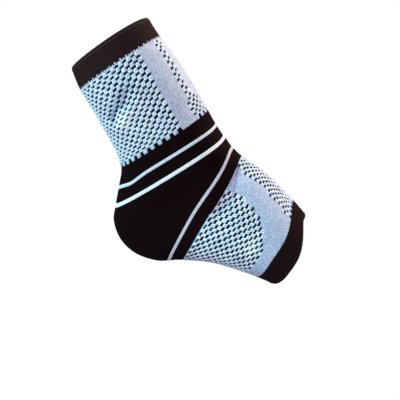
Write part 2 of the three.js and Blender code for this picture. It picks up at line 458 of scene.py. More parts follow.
upperStripeUp = sleeve["heelTop"] + sleeve["stripeSpacing"]
seams = {
    "legRim": 0.0,
    "cuffEdge": legStation(sleeve["legLength"] - sleeve["legCuffHeight"]),
    "bandTop": legStation(upperStripeUp + sleeve["bandHeight"]),
    "upperStripe": legStation(upperStripeUp),
    "middleStripe": legStation(sleeve["heelTop"]),
    "lowerStripe": footStation(0.0),
    "footPanelTop": footStation(sleeve["instepHeight"]),
    "toeCuffEdge": footStation(sleeve["footLength"] - sleeve["toeCuffHeight"]),
    "toeRim": float(lastStation),
}
# where a seam runs off its ring: degrees round, spread in degrees, and metres towards the toes
seamShifts = {
    "upperStripe": (126, 13, 1.4 * mm),
    "middleStripe": (105, 45, 0.6 * mm),
    "toeRim": (60, 36, 1.6 * mm),
}
print("skin ready,", lastStation + 1, "rings")


def seamLead(name, angle):
    degrees, spread, ahead = seamShifts.get(name, (0, 1, 0))
    return ahead * np.exp(-((np.degrees(angle) - degrees) / spread) ** 2)


# Knitted tubes

knit = {
    "repeats": 32,  # eyelet repeats round the leg
    "walesPerRepeat": 6,
    "coursesPerRow": 3,
    "rowHeight": 2.64 * mm,
    "stitchSlant": 0.6,  # lean of a stitch's legs, in courses
    "stitchRound": 0.6,  # how much a leg's ends are rounded off
    "liningColumns": 96,
}
# what each vertex attribute holds away from any eyelet
restingFields = {
    "slot": 3.0,  # distance from the nearest eyelet, 1 at its edge
    "loop": 3.0,  # millimetres from the middle of the nearest ringlet
    "tint": 0.0,  # how greenish the inside of that eyelet is
    "plain": 1.0,  # 1 on plain cloth, 0 between eyelets
    "fold": 0.0,  # how much painted shade a crease puts on the cloth
    "stretch": 0.0,  # how tightly the cloth is stretched; the shader paints a highlight by it
}


def tubeRows(seamStart, startRows, seamEnd, endRows, mainRows, around):
    # Row stations and heights. startRows and endRows hold (lead, height) from the outside in,
    # measured from their seams; mainRows rows fill the stretch between them.
    stations, heights, angles = [], [], []

    def addRow(seam, lead, height):
        angle = ringAngles(seams[seam], around)
        stations.append(stationAhead(seams[seam], angle, lead + seamLead(seam, angle)))
        heights.append(height + 0 * around)
        angles.append(angle)

    for lead, height in startRows:
        addRow(seamStart, lead, height)
    first = len(stations) - 1
    for lead, height in endRows:
        addRow(seamEnd, lead, height)
    startStation, endStation = stations[first], stations[first + 1]
    startHeight, endHeight = heights[first], heights[first + 1]
    middleStations, middleHeights, middleAngles = [], [], []
    for row in range(1, mainRows):
        share = row / mainRows
        station = lerp(startStation, endStation, share)
        middleStations.append(station)
        middleHeights.append(lerp(startHeight, endHeight, share))
        middleAngles.append(ringAngles(float(np.mean(station)), around))
    place = first + 1
    stations[place:place] = middleStations
    heights[place:place] = middleHeights
    angles[place:place] = middleAngles
    return np.array(stations), np.array(heights), np.array(angles)


def alongMap(points):
    # metres along the cloth from the first row, for each column
    steps = np.linalg.norm(np.diff(points, axis=0), axis=-1)
    return np.vstack([np.zeros(points.shape[1]), np.cumsum(steps, axis=0)])


def addWall(bm, points, mapU, mapV, fields, layers):
    # one wall of a tube: a grid whose points are moved on to the skin; its seam is closed in closeTube
    rows, columns = points.shape[0] - 1, points.shape[1] - 1
    made = bmesh.ops.create_grid(bm, x_segments=columns, y_segments=rows, size=0.5)
    cells = {}
    for vert in made["verts"]:
        column = round((vert.co.x + 0.5) * columns)
        row = round((vert.co.y + 0.5) * rows)
        cells[vert] = (row, column)
        vert.co = points[row, column]
        for field, rest in restingFields.items():
            vert[layers[field]] = fields[field][row, column] if field in fields else rest
        vert[layers["edge"]] = 1 if row == 0 else 2 if row == rows else 0
    faces = {face for vert in made["verts"] for face in vert.link_faces}
    for face in faces:
        face.smooth = True
        for loop in face.loops:
            row, column = cells[loop.vert]
            loop[layers["uv"]].uv = (mapU[row, column], mapV[row, column])
    return made["verts"]


def closeTube(name, bm, layers):
    bmesh.ops.remove_doubles(bm, verts=bm.verts[:], dist=2e-6)
    for edgeMark in (1, 2):
        edges = [
            edge for edge in bm.edges
            if edge.is_boundary and all(vert[layers["edge"]] == edgeMark for vert in edge.verts)
        ]
        bridged = bmesh.ops.bridge_loops(bm, edges=edges)
        for face in bridged["faces"]:
            face.smooth = True
            for loop in face.loops:
                other = next((l for l in loop.vert.link_loops if l.face != face), None)
                if other and other.face.is_valid:
                    loop[layers["uv"]].uv = other[layers["uv"]].uv
    bmesh.ops.recalc_face_normals(bm, faces=bm.faces[:])
    mesh = bpy.data.meshes.new(name)
    bm.to_mesh(mesh)
    bm.free()
    piece = bpy.data.objects.new(name, mesh)
    bpy.context.scene.collection.objects.link(piece)
    return piece


def newLayers(bm):
    layers = {"uv": bm.loops.layers.uv.new("knit"), "edge": bm.verts.layers.int.new("edge")}
    for field in restingFields:
        layers[field] = bm.verts.layers.float.new(field)
    return layers


def knitTube(spec):
    # outer wall with its relief, plain lining, both rims closed
    around = np.linspace(0, 1, spec["columns"] + 1)
    startRows, endRows = spec["startRows"](around), spec["endRows"](around)
    seamStart, seamEnd = spec["from"], spec["to"]
    stations, heights, angles = tubeRows(
        seamStart, startRows, seamEnd, endRows, spec["rows"], around,
    )
    skin = skinPoint(stations, angles)
    normal = skinNormal(stations, angles)
    folds = spec.get("folds", [])
    inset = dentDepth(skin)
    mapU, mapV = spec["map"](around, skin, stations)
    fields, relief = spec["relief"](mapU, mapV, skin)
    points = skin + normal * (heights + relief - inset)[..., None]
    bm = bmesh.new()
    layers = newLayers(bm)
    addWall(bm, points, mapU, mapV, fields, layers)

    lining = np.linspace(0, 1, spec.get("liningColumns", knit["liningColumns"]) + 1)
    startLead, endLead = spec.get("liningLeads", (0.0, 0.0))
    inStart = spec.get("liningStart", [(startLead, -spec["wall"])])
    inEnd = spec.get("liningEnd", [(endLead, -spec["wall"])])
    stations, heights, angles = tubeRows(
        seamStart, inStart, seamEnd, inEnd, spec["liningRows"], lining,
    )
    skin = skinPoint(stations, angles)
    heights = heights - dentDepth(skin) - foldAmount(skin, folds, "depth")
    points = skin + skinNormal(stations, angles) * heights[..., None]
    mapU, mapV = spec["map"](lining, skin, stations)
    addWall(bm, points, mapU, mapV, {}, layers)
    piece = closeTube(spec["name"] + "_knit", bm, layers)
    piece.data.materials.append(spec["material"])
    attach(piece, "root")
    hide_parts(spec["name"])
    print(spec["name"], len(piece.data.polygons), "faces")
    return piece


def plainMap(around, skin, stations):
    mapU = np.broadcast_to(around * knit["repeats"], stations.shape)
    return mapU, alongMap(skin) / knit["rowHeight"]


# Finishes

def stitchPattern(sheet, u, v):
    # V-shaped stitches: two slanted legs in each wale
    wale = sheet.math("FRACT", sheet.math("MULTIPLY", u, knit["walesPerRepeat"]))
    side = sheet.math("ABSOLUTE", sheet.math("MULTIPLY_ADD", wale, 2.0, -1.0))
    lean = sheet.math("MULTIPLY", side, knit["stitchSlant"])
    course = sheet.math("FRACT", sheet.math("MULTIPLY_ADD", v, knit["coursesPerRow"], lean))
    legAcross, legAlong = sheet.hump(side), sheet.hump(course)
    legAlong = sheet.math("MULTIPLY_ADD", legAlong, knit["stitchRound"], 1 - knit["stitchRound"])
    return sheet.math("MULTIPLY", legAcross, legAlong)


def finishKnit(sheet, colour, stitch, look):
    # shared end of each knit: mottle, stitch shade, bump, fuzz
    cloud = sheet.noise(look["mottleScale"], 3.0, look["seed"])
    fibre = sheet.noise(look["fibreScale"], 2.0, look["seed"] + 3)
    shade = sheet.math("MULTIPLY_ADD", cloud, look["mottle"] * 2, 1 - look["mottle"])
    grain = sheet.math("MULTIPLY_ADD", fibre, look["grain"] * 2, 1 - look["grain"])
    wales = sheet.math("MULTIPLY_ADD", stitch, look["stitchShade"], 1 - look["stitchShade"] * 0.6)
    for layer in (grain, wales):
        shade = sheet.math("MULTIPLY", shade, layer)
    tone = sheet.add("ShaderNodeCombineColor")
    for channel in range(3):
        sheet.link(shade, tone.inputs[channel])
    baseColour = sheet.mix(1.0, colour, tone.outputs[0], "MULTIPLY")
    sheet.link(baseColour, sheet.shader.inputs["Base Color"])
    height = sheet.math("MULTIPLY_ADD", fibre, 0.5, stitch)
    bump = sheet.add("ShaderNodeBump")
    bump.inputs["Strength"].default_value = look["bump"]
    bump.inputs["Distance"].default_value = look["bumpDepth"]
    sheet.link(height, bump.inputs["Height"])
    sheet.link(bump.outputs[0], sheet.shader.inputs["Normal"])
    rough = sheet.math("MULTIPLY_ADD", fibre, look["patchy"] * 2, look["roughness"] - look["patchy"])
    sheet.link(rough, sheet.shader.inputs["Roughness"])
    sheet.shader.inputs["Specular IOR Level"].default_value = look["specular"]
    sheet.shader.inputs["Sheen Weight"].default_value = look["sheen"]
    sheet.shader.inputs["Sheen Roughness"].default_value = look["sheenRoughness"]
    sheet.shader.inputs["Sheen Tint"].default_value = look["sheenTint"]
    return sheet.material


darkLook = {
    "mottleScale": 60, "mottle": 0.12, "fibreScale": 1400, "grain": 0.2, "stitchShade": 0.35,
    "bump": 0.5, "bumpDepth": 0.25 * mm, "roughness": 0.9, "patchy": 0.06, "specular": 0.02,
    "sheen": 0.0, "sheenRoughness": 0.5, "sheenTint": (0.7, 0.75, 1.0, 1), "seed": 1.0,
}
paleLook = {
    "mottleScale": 90, "mottle": 0.12, "fibreScale": 800, "grain": 0.8, "stitchShade": 0.3,
    "bump": 0.5, "bumpDepth": 0.25 * mm, "roughness": 0.88, "patchy": 0.06, "specular": 0.12,
    "sheen": 0.15, "sheenRoughness": 0.4, "sheenTint": (0.95, 0.98, 1.0, 1), "seed": 7.0,
}


def darkKnit(name, colour, look, hemHighlightColour=None):
    sheet = NodeSheet(name)
    u, v = sheet.knitPlace()
    stitch = stitchPattern(sheet, u, v)
    if hemHighlightColour:
        # the raised hem line is coloured lighter, as a painted highlight
        colour = sheet.mix(sheet.attribute("plain"), hemHighlightColour, colour)
    return finishKnit(sheet, colour, stitch, look)


blackKnit = darkKnit("black_knit", linear(19, 8, 11), darkLook)
cuffLook = {**darkLook, "seed": 4.0, "grain": 0.3}
cuffKnit = darkKnit("cuff_knit", linear(40, 28, 30), cuffLook, linear(70, 58, 58))
toeCuffKnit = darkKnit("toe_cuff_knit", linear(29, 17, 19), cuffLook, linear(44, 30, 32))


def stripeKnit(name, colour, look):
    sheet = NodeSheet(name)
    wale = sheet.math("MULTIPLY", sheet.knitPlace()[0], knit["walesPerRepeat"] * 2 * math.pi)
    rib = sheet.math("MULTIPLY_ADD", sheet.math("COSINE", wale), -0.5, 0.5)
    return finishKnit(sheet, colour, rib, look)


stripeLook = {**paleLook, "stitchShade": 0.2, "mottle": 0.1, "grain": 0.3, "sheen": 0.1}
blueStripe = stripeKnit("blue_stripe", linear(199, 208, 222), stripeLook)
whiteStripe = stripeKnit("white_stripe", linear(232, 236, 240), {**stripeLook, "stitchShade": 0.45})
greyStripe = stripeKnit("grey_stripe", linear(190, 184, 198), stripeLook)


def eyeletKnit(name, spec):
    # cloth with painted crease shade and a painted highlight where stretched, raised ringlets painted
    # white as a highlight with a grey middle, and the dark insides of the eyelets
    sheet = NodeSheet(name)
    u, v = sheet.knitPlace()
    plain = sheet.attribute("plain")
    slot = sheet.math("SUBTRACT", 1.0, sheet.smooth(sheet.attribute("slot"), *spec["darkEdge"]))
    away = sheet.attribute("loop")
    ring = sheet.math("ABSOLUTE", sheet.math("SUBTRACT", away, spec["loopRadius"] / mm))
    ring = sheet.math("SUBTRACT", 1.0, sheet.smooth(ring, *spec["ringEdge"]))
    middle = sheet.math("SUBTRACT", 1.0, sheet.smooth(away, *spec["middleEdge"]))
    cloth = sheet.mix(plain, spec["puffColour"], spec["plainColour"])
    # painted highlight: the raised ringlets are coloured near white
    cloth = sheet.mix(sheet.math("MULTIPLY", ring, spec["paintedRingShare"]), cloth, spec["paintedRingHighlight"])
    cloth = sheet.mix(sheet.math("MULTIPLY", middle, spec["middleShade"]), cloth, spec["middleColour"])
    # painted shade in the creases: the cloth is multiplied by a darker colour along them
    cloth = sheet.mix(sheet.attribute("fold"), cloth, spec["paintedFoldShade"], "MULTIPLY")
    # painted highlight on the stretched swelling: the cloth is lightened towards a pale colour
    stretch = sheet.math("MULTIPLY", sheet.attribute("stretch"), spec["paintedHighlightAmount"])
    cloth = sheet.mix(stretch, cloth, spec["paintedStretchHighlight"])
    pit = sheet.mix(sheet.attribute("tint"), spec["pitColour"], spec["pitTint"])
    cloth = sheet.mix(slot, cloth, pit)
    return finishKnit(sheet, cloth, stitchPattern(sheet, u, v), spec["look"])


legPanel = {
    "material": "pale_knit_leg",
    "columns": 32 * 16,
    "rows": 7 * 25,
    "repeats": 32,
    "rowHeight": 2.64 * mm,
    "pitch": 7.9 * mm,
    "firstRow": 1.5 * mm,  # seam to the edge of the first eyelet row
    "eyeletRows": 25,
    "slant": 9,  # degrees that an eyelet is turned from the course
    "slotLength": 4.45 * mm,
    "slotWidth": 1.9 * mm,
    "slotPower": 2.6,  # 2 makes an oval, more makes it squarer
    "pinchLength": 0.6 * mm,
    "stretchNarrow": 0.22,  # how much narrower eyelets are where the cloth is stretched
    "widen": ((3.6, 7.0, 12.0), (1.08, 1.0, 0.8)),  # repeats from the front, share of the width
    "pitDepth": 1.1 * mm,
    "pitWall": (0.7, 1.25),  # shares of an eyelet's size between which its wall rises
    "darkEdge": (0.84, 1.12),  # and between which its dark inside ends
    "puffHeight": 0.32 * mm,
    "puffRise": (0.9, 1.8),
    "ringHeight": 0.16 * mm,
    "ringWidth": 0.42 * mm,
    # how much eyelets differ: place in metres, the rest as shares of their size, slant in degrees
    "vary": {"place": 0.16 * mm, "length": 0.12, "width": 0.14, "slant": 5, "pinch": 0.26},
    "stretch": ((2.3, 104, 9 * mm),),  # station, degrees round and radius of stretched places, which also get a painted highlight
    "seed": 11,
    "phase": 0.246,
    "centre": 0.25,
    # how far the eyelets at the front reach to the outer side and inwards, row by row
    "frontOuter": ((0.0, 16.0, 21.0, 26.0), (0.85, 0.85, 1.35, 1.4)),
    "frontInner": ((0.0, 3.0, 4.0, 17.0, 18.5, 21.0, 26.0), (0.4, 0.4, 0.1, 0.1, 0.4, 0.85, 1.3)),
    "sideStart": 3.6,
    # turn of the wales round the leg, as a share of the girth, from the cuff to the band
    "twist": ((0.0, 0.25, 0.45, 0.65, 1.0), (0.0, 0.0085, 0.02, 0.0214, 0.0165)),
    # the rows sag on the outer side: by how much, where along the panel, and how far round
    "sag": {"drop": 1.65 * mm, "along": (0.38, 0.3), "round": (92, 38)},
    "notchDepth": 3.6 * mm,
    "notchWidth": 0.5,
    "toothRows": 6,
    "toothHeight": 0.12 * mm,
    "edgeDip": 0.15 * mm,
    "bumps": 43,
    "bumpHeight": 1.5 * mm,
    "loopRadius": 1.2 * mm,
    "ringEdge": (0.1, 0.6),  # millimetres from the ringlet's line where its painted white highlight fades out
    "paintedRingShare": 0.85,
    "paintedRingHighlight": linear(244, 250, 255),
    "middleEdge": (0.1, 0.75),
    "middleShade": 0.6,
    "middleColour": linear(150, 162, 196),
    "puffColour": linear(176, 196, 221),
    "plainColour": linear(180, 190, 212),
    "paintedFoldShade": linear(178, 196, 224),
    "paintedHighlightAmount": 0.6,
    "paintedStretchHighlight": linear(240, 250, 244),
    "pitColour": linear(6, 12, 32),
    "pitTint": linear(36, 74, 92),
    "look": paleLook,
    "liningColumns": 128,
    "liningRows": 36,
}


def smoothStep(value, low, high):
    share = np.clip((value - low) / (high - low), 0, 1)
    return share * share * (3 - 2 * share)


def outwardsFrom(u, spec):
    # eyelet repeats from the front midline of the pattern, counted over the outer side
    half = spec["repeats"] / 2
    return (u - spec["centre"] + half) % spec["repeats"] - half


def fromMiddle(u, spec):
    return np.abs(outwardsFrom(u, spec))


def zoneEdge(inside):
    # 1 inside a zone of eyelets, 0 outside it, from the distance past its edge
    return smoothStep(inside, -0.1, 0.1)


def frontZone(u, v, spec):
    outwards = outwardsFrom(u, spec)
    reach = zoneEdge(np.interp(v, *spec["frontOuter"]) - outwards)
    return reach * zoneEdge(outwards + np.interp(v, *spec["frontInner"]))


def legZone(u, v):
    side = zoneEdge(fromMiddle(u, legPanel) - legPanel["sideStart"])
    return np.maximum(frontZone(u, v, legPanel), side)


def stretchAmount(skin, spots):
    # 1 in the middle of the places where the cloth is stretched over a bone, where a painted highlight
    # also goes
    amount = np.zeros(skin.shape[:-1])
    for station, degrees, radius in spots:
        centre = skinPoint(np.array(station), np.array(math.radians(degrees)))
        distance = np.linalg.norm(skin - centre, axis=-1)
        amount = np.maximum(amount, np.exp(-(distance / radius) ** 2))
    return amount


def eyeletFields(spec, zone, u, v, stretch, gape):
    # each eyelet has its own small differences, taken from one seeded table
    rows, repeats, vary = spec["eyeletRows"], spec["repeats"], spec["vary"]
    table = np.random.default_rng(spec["seed"]).uniform(-1, 1, (7, rows, repeats))
    slot, loop, tint = (np.full(u.shape, restingFields[name]) for name in ("slot", "loop", "tint"))
    for step in (-1, 0, 1):
        row = np.floor(v) + step
        inside = (row >= 0) & (row < rows)
        offset = 0.5 * (row % 2)
        cell = np.floor(u + offset)
        place = (np.clip(row, 0, rows - 1).astype(int), (cell % repeats).astype(int))
        aside, below, longer, wider, slanted, pinched, tinted = (layer[place] for layer in table)
        across = (u + offset - cell - 0.5) * spec["pitch"] - aside * vary["place"]
        down = (v - row - 0.5) * spec["rowHeight"] - below * vary["place"]
        turn = np.radians(spec["slant"] + slanted * vary["slant"])
        along = np.abs(across * np.cos(turn) + down * np.sin(turn))
        wide = np.abs(down * np.cos(turn) - across * np.sin(turn))
        pinch = vary["pinch"] * (0.5 + 0.5 * pinched) * np.exp(-(along / spec["pinchLength"]) ** 2)
        halfLength = spec["slotLength"] / 2 * (1 + longer * vary["length"])
        halfWidth = spec["slotWidth"] / 2 * (1 + wider * vary["width"]) * (1 - pinch)
        widen = np.interp(fromMiddle(cell + 0.5 - offset, spec), *spec["widen"])
        halfWidth = halfWidth * (1 - spec["stretchNarrow"] * stretch + gape) * widen
        power = spec["slotPower"]
        reach = ((along / halfLength) ** power + (wide / halfWidth) ** power) ** (1 / power)
        there = inside & (zone(cell + 0.5 - offset, row + 0.5) > 0.5) & (reach < slot)
        slot = np.where(there, reach, slot)
        # in stretched places the eyelets' insides are lightened towards the tint, as part of the painted
        # highlight
        tint = np.where(there, np.maximum((0.5 + 0.5 * tinted) ** 2, stretch), tint)
        middle = np.round(u + offset)
        away = np.hypot((u + offset - middle) * spec["pitch"], (v - row - 0.5) * spec["rowHeight"])
        near = inside & (zone(middle - offset, row + 0.5) > 0.4)
        loop = np.where(near, np.minimum(loop, away / mm), loop)
    return slot, loop, tint


def foldAmount(skin, folds, measure):
    # the depth, painted shade or gape that creases give a place, fading out from their lines
    amount = np.zeros(skin.shape[:-1])
    for fold in folds:
        distance = np.full(amount.shape, 1.0)
        for start, end in zip(fold["line"], fold["line"][1:]):
            run = end - start
            share = np.clip((skin - start) @ run / (run @ run), 0, 1)
            here = np.linalg.norm(skin - start - share[..., None] * run, axis=-1)
            distance = np.minimum(distance, here)
        amount = np.maximum(amount, fold[measure] * np.exp(-(distance / fold["width"]) ** 2))
    return amount


def panelRelief(spec, zone, folds):
    def relief(u, v, skin):
        rows = spec["eyeletRows"]
        within = zone(u, np.clip(v, 0, rows - 0.01)) * smoothStep(v, -0.2, 0.2)
        stretch = stretchAmount(skin, spec["stretch"])
        # painted shade that the creases put on the cloth, carried in the fold attribute
        shade = foldAmount(skin, folds, "shade")
        gape = foldAmount(skin, folds, "gape")
        slot, loop, tint = eyeletFields(spec, zone, u, v, stretch, gape)
        ring = np.exp(-((loop * mm - spec["loopRadius"]) / spec["ringWidth"]) ** 2)
        pit = 1 - smoothStep(slot, *spec["pitWall"])
        fold = foldAmount(skin, folds, "depth")
        deepest = max(item["depth"] for item in folds)
        pit = pit * spec["pitDepth"] * (1 - 0.5 * fold / deepest)
        height = within * smoothStep(slot, *spec["puffRise"]) * spec["puffHeight"]
        height = height + ring * within * spec["ringHeight"] - pit - fold
        fields = {
            "slot": slot, "loop": loop, "tint": tint, "plain": 1 - within,
            "fold": shade, "stretch": stretch * within,
        }
        return fields, height

    return relief


def skinLine(stations, degrees):
    return skinPoint(np.array(stations), np.radians(degrees))


def toothedEnd(spec, u, present):
    # rows that run out in teeth, with a notch at each whole repeat where the eyelets reach the edge
    width, depth, rows = spec["notchWidth"], spec["notchDepth"], spec["toothRows"]
    distance = np.abs((u + 0.5) % 1 - 0.5)
    notch = (1 - smoothStep(distance, width / 2 - 0.02, width / 2 + 0.02)) * present
    steps = [-depth + depth * (1 - notch) * step / rows for step in range(rows + 1)]
    leads = [(lead, spec["toothHeight"]) for lead in steps]
    return [*leads, (-depth * notch + 0.05 * mm, -spec["edgeDip"])]


def legMapU(around, share):
    twist = np.interp(share, *legPanel["twist"])
    weight = 0.5 + 0.5 * np.cos(2 * math.pi * around)
    return (around - twist * weight) * legPanel["repeats"] - legPanel["phase"]


def legPanelMap(around, skin, stations):
    down = sleeve["legLength"] - sleeve["legCuffHeight"] - upperStripeUp - sleeve["bandHeight"]
    ups = [row["up"] for row in legSections]
    up = np.interp(stations, np.arange(len(ups)), ups)
    topUp = float(np.interp(seams["cuffEdge"], np.arange(len(ups)), ups))
    distance = (topUp - up) * (sleeve["legLength"] - sleeve["heelTop"])
    share = distance / down
    mapU = legMapU(np.broadcast_to(around, stations.shape), share)
    sag = legPanel["sag"]
    (place, spread), (turn, width) = sag["along"], sag["round"]
    angle = 360 * np.broadcast_to(around, stations.shape)
    near = np.clip(1 - ((share - place) / spread) ** 2, 0, 1) ** 2
    distance = distance - sag["drop"] * near * np.exp(-((angle - turn) / width) ** 2)
    return mapU, (distance - legPanel["firstRow"]) / legPanel["rowHeight"]


def legPanelStart(around):
    bump = 0.5 + 0.5 * np.cos(2 * math.pi * around * legPanel["bumps"])
    reach = -legPanel["bumpHeight"] * bump
    return [(reach, -legPanel["edgeDip"]), (reach * 0.6, 0.1 * mm), (0.35 * mm, 0.0)]


def legPanelEnd(around):
    u = legMapU(around, 1.0)
    return toothedEnd(legPanel, u, legZone(np.round(u), legPanel["eyeletRows"] + 0.5) > 0.5)


# a sharp crease on the outer side, above the swelling of the ankle, with painted shade along it, in a
# hollow of painted shade over the shallow dent there
legFolds = [
    {
        "line": skinLine((2.17, 2.09, 2.04, 2.02, 2.02), (121, 115, 108, 101, 94)),
        "width": 2.8 * mm, "depth": 1.1 * mm, "shade": 0.9, "gape": 0.32,
    },
    # this one has no depth: its shade is painted only
    {
        "line": skinLine((1.98, 1.87, 1.78), (104, 92, 83)),
        "width": 8.0 * mm, "depth": 0.0, "shade": 0.38, "gape": 0.06,
    },
]


footPanel = {
    **legPanel,
    "material": "pale_knit_foot",
    "columns": 38 * 14,
    "rows": 6 * 24,
    "repeats": 38,
    "rowHeight": 2.34 * mm,
    "pitch": 7.2 * mm,
    "firstRow": 1.09 * mm,
    "eyeletRows": 23,
    "slant": -9,
    "seed": 12,
    "slotLength": 4.3 * mm,
    "slotWidth": 2.0 * mm,
    "widen": ((3.6, 8.0, 14.0), (1.0, 1.0, 1.0)),
    "stretch": ((12.9, 84, 7 * mm),),
    "phase": -0.966,
    "centre": 0.966,
    # the eyelets on the instep, in the same way
    "frontOuter": ((-1.0, 9.0, 19.0, 24.0), (1.9, 2.3, 2.9, 3.7)),
    "frontInner": ((-1.0, 6.0, 16.0, 23.0), (0.4, 0.5, 0.8, 1.3)),
    # where the eyelets of the side start, in repeats from the front, row by row
    "sideStart": (
        (-1.0, 2.0, 6.0, 9.0, 12.0, 14.7, 16.1, 17.2, 18.2, 19.6),
        (4.5, 4.7, 4.95, 5.3, 5.7, 6.25, 6.8, 7.3, 7.9, 8.9),
    ),
    "sideEnd": 19.9,
    "notchDepth": 2.1 * mm,
    "toothRows": 4,
    "edgeDip": 0.2 * mm,
    "paintedFoldShade": linear(206, 180, 194),
    "puffColour": linear(174, 194, 221),
    "plainColour": linear(170, 185, 212),
}


def footZone(u, v):
    away = fromMiddle(u, footPanel)
    side = zoneEdge(away - np.interp(v, *footPanel["sideStart"]))
    side = side * (1 - smoothStep(v, footPanel["sideEnd"], footPanel["sideEnd"] + 0.2))
    return np.maximum(frontZone(u, v, footPanel), side)


def footMapU(around):
    return around * footPanel["repeats"] - footPanel["phase"]


def footPanelMap(around, skin, stations):
    alongs = [row["along"] for row in footSections]
    first = len(legSections) + len(heelSections)
    along = np.interp(stations - first, np.arange(len(alongs)), alongs) * sleeve["footLength"]
    distance = along - sleeve["instepHeight"]
    mapU = footMapU(np.broadcast_to(around, stations.shape))
    return mapU, (distance - footPanel["firstRow"]) / footPanel["rowHeight"]


def footPanelStart(around):
    return [(-0.1 * mm, -footPanel["edgeDip"]), (0.1 * mm, 0.08 * mm), (0.5 * mm, 0.0)]


def footPanelEnd(around):
    u = footMapU(around)
    present = frontZone(np.round(u), footPanel["eyeletRows"] + 0.5, footPanel) > 0.5
    return toothedEnd(footPanel, u, present)


# a crease where the foot turns into the leg and a hollow between it and the band, both with painted
# lilac-grey shade, and painted shade on the cloth towards the sole
footFolds = [
    {
        "line": skinLine((11.12, 11.2, 11.32, 11.41, 11.36, 11.27), (16, 28, 41, 52, 62, 71)),
        "width": 1.5 * mm, "depth": 0.7 * mm, "shade": 0.85, "gape": 0,
    },
    {
        "line": skinLine((11.12, 11.16, 11.18, 11.15), (28, 42, 58, 72)),
        "width": 4.5 * mm, "depth": 0.35 * mm, "shade": 0.6, "gape": 0,
    },
    # no depth: painted shade on the underside towards the sole
    {
        "line": skinLine((11.0, 11.6, 12.4, 13.2, 13.9), (134, 137, 132, 126, 123)),
        "width": 15.0 * mm, "depth": 0.0, "shade": 0.6, "gape": 0,
    },
]


def makePanel(name, seamPair, spec, zone, folds, rowMakers, knitMap):
    # the lining follows the folds too, so that no eyelet reaches through it
    return knitTube({
        "name": name, "from": seamPair[0], "to": seamPair[1], "slot": "pale_knit",
        "columns": spec["columns"], "rows": spec["rows"], "wall": sleeve["knitWall"],
        "startRows": rowMakers[0], "endRows": rowMakers[1], "map": knitMap,
        "relief": panelRelief(spec, zone, folds), "material": eyeletKnit(spec["material"], spec),
        "folds": folds, "liningColumns": spec["liningColumns"], "liningRows": spec["liningRows"],
    })


makePanel(
    "leg_panel", ("cuffEdge", "bandTop"), legPanel, legZone, legFolds,
    (legPanelStart, legPanelEnd), legPanelMap,
)
makePanel(
    "foot_panel", ("footPanelTop", "toeCuffEdge"), footPanel, footZone, footFolds,
    (footPanelStart, footPanelEnd), footPanelMap,
)


# Dark bands and heel

bands = {
    "columns": 192 * 2,
    "waleDepth": 0.05 * mm,
    "tuck": 0.6 * mm,  # length of a band's edge that lies under its neighbour
    "tuckDepth": 0.5 * mm,
    "edgeDip": 0.08 * mm,
    "edgeRun": 0.3 * mm,  # length of cloth that an edge is rounded over
}


def waleRelief(depth):
    # low ribs, one to each wale
    def relief(u, v, skin):
        wale = (u * knit["walesPerRepeat"]) % 1
        return {}, depth * (1 - (2 * wale - 1) ** 2 * 2)
    return relief


def mirrored(rows):
    # the same rows at the other end of a piece
    return [(-lead, height) for lead, height in reversed(rows)]


def tucked(edge):
    # rows of a band that starts under a stripe, edge metres from the seam's middle
    return [
        (edge - bands["tuck"], -bands["tuckDepth"]), (edge, -bands["edgeDip"]),
        (edge + bands["edgeRun"], 0.0),
    ]


def turnedUnder(lead, dip):
    # last rows of a piece whose edge dives under the panel after it
    return lambda around: [(-bands["edgeRun"], 0.0), (lead, -dip), (0.9 * mm, -0.8 * mm)]


def underNotches(depth):
    # the band's first rows lie under the teeth of the panel and show between them
    return lambda around: [
        (-depth - 0.8 * mm, -1.4 * mm), (-depth - 0.3 * mm, -0.7 * mm), (-depth + 0.1 * mm, -0.2 * mm),
        (-depth / 2, -0.12 * mm), (0.2 * mm, -0.02 * mm), (0.6 * mm, 0.0),
    ]


def makeBand(name, fromSeam, toSeam, rows, liningRows, startRows=None, endRows=None):
    # an end without rows of its own lies under the stripe there
    start, end = (sleeve.get(seam, 0.0) / 2 for seam in (fromSeam, toSeam))
    return knitTube({
        "name": name, "from": fromSeam, "to": toSeam, "slot": "black_knit",
        "columns": bands["columns"], "rows": rows, "wall": sleeve["knitWall"],
        "startRows": startRows or (lambda around: tucked(start)),
        "endRows": endRows or (lambda around: mirrored(tucked(end))),
        "map": plainMap, "relief": waleRelief(bands["waleDepth"]), "material": blackKnit,
        "liningLeads": (start, -end), "liningRows": liningRows,
    })


makeBand(
    "ankle_band_upper", "bandTop", "upperStripe", rows=12, liningRows=4,
    startRows=underNotches(legPanel["notchDepth"]),
)
makeBand("ankle_band_lower", "upperStripe", "middleStripe", rows=12, liningRows=4)
makeBand("heel_pocket", "middleStripe", "lowerStripe", rows=90, liningRows=30)
makeBand(
    "instep_band", "lowerStripe", "footPanelTop", rows=10, liningRows=4,
    endRows=turnedUnder(0.2 * mm, 0.1 * mm),
)


# Stripes

stripes = {
    "columns": 192 * 4,
    "proud": 0.12 * mm,
    "sink": 0.3 * mm,  # how deep the edges lie
    "slope": (0.1 * mm, 0.35 * mm),  # from the edge to half height and to the top
    "stepDepth": 0.12 * mm,  # small steps of the stitches along both edges
}


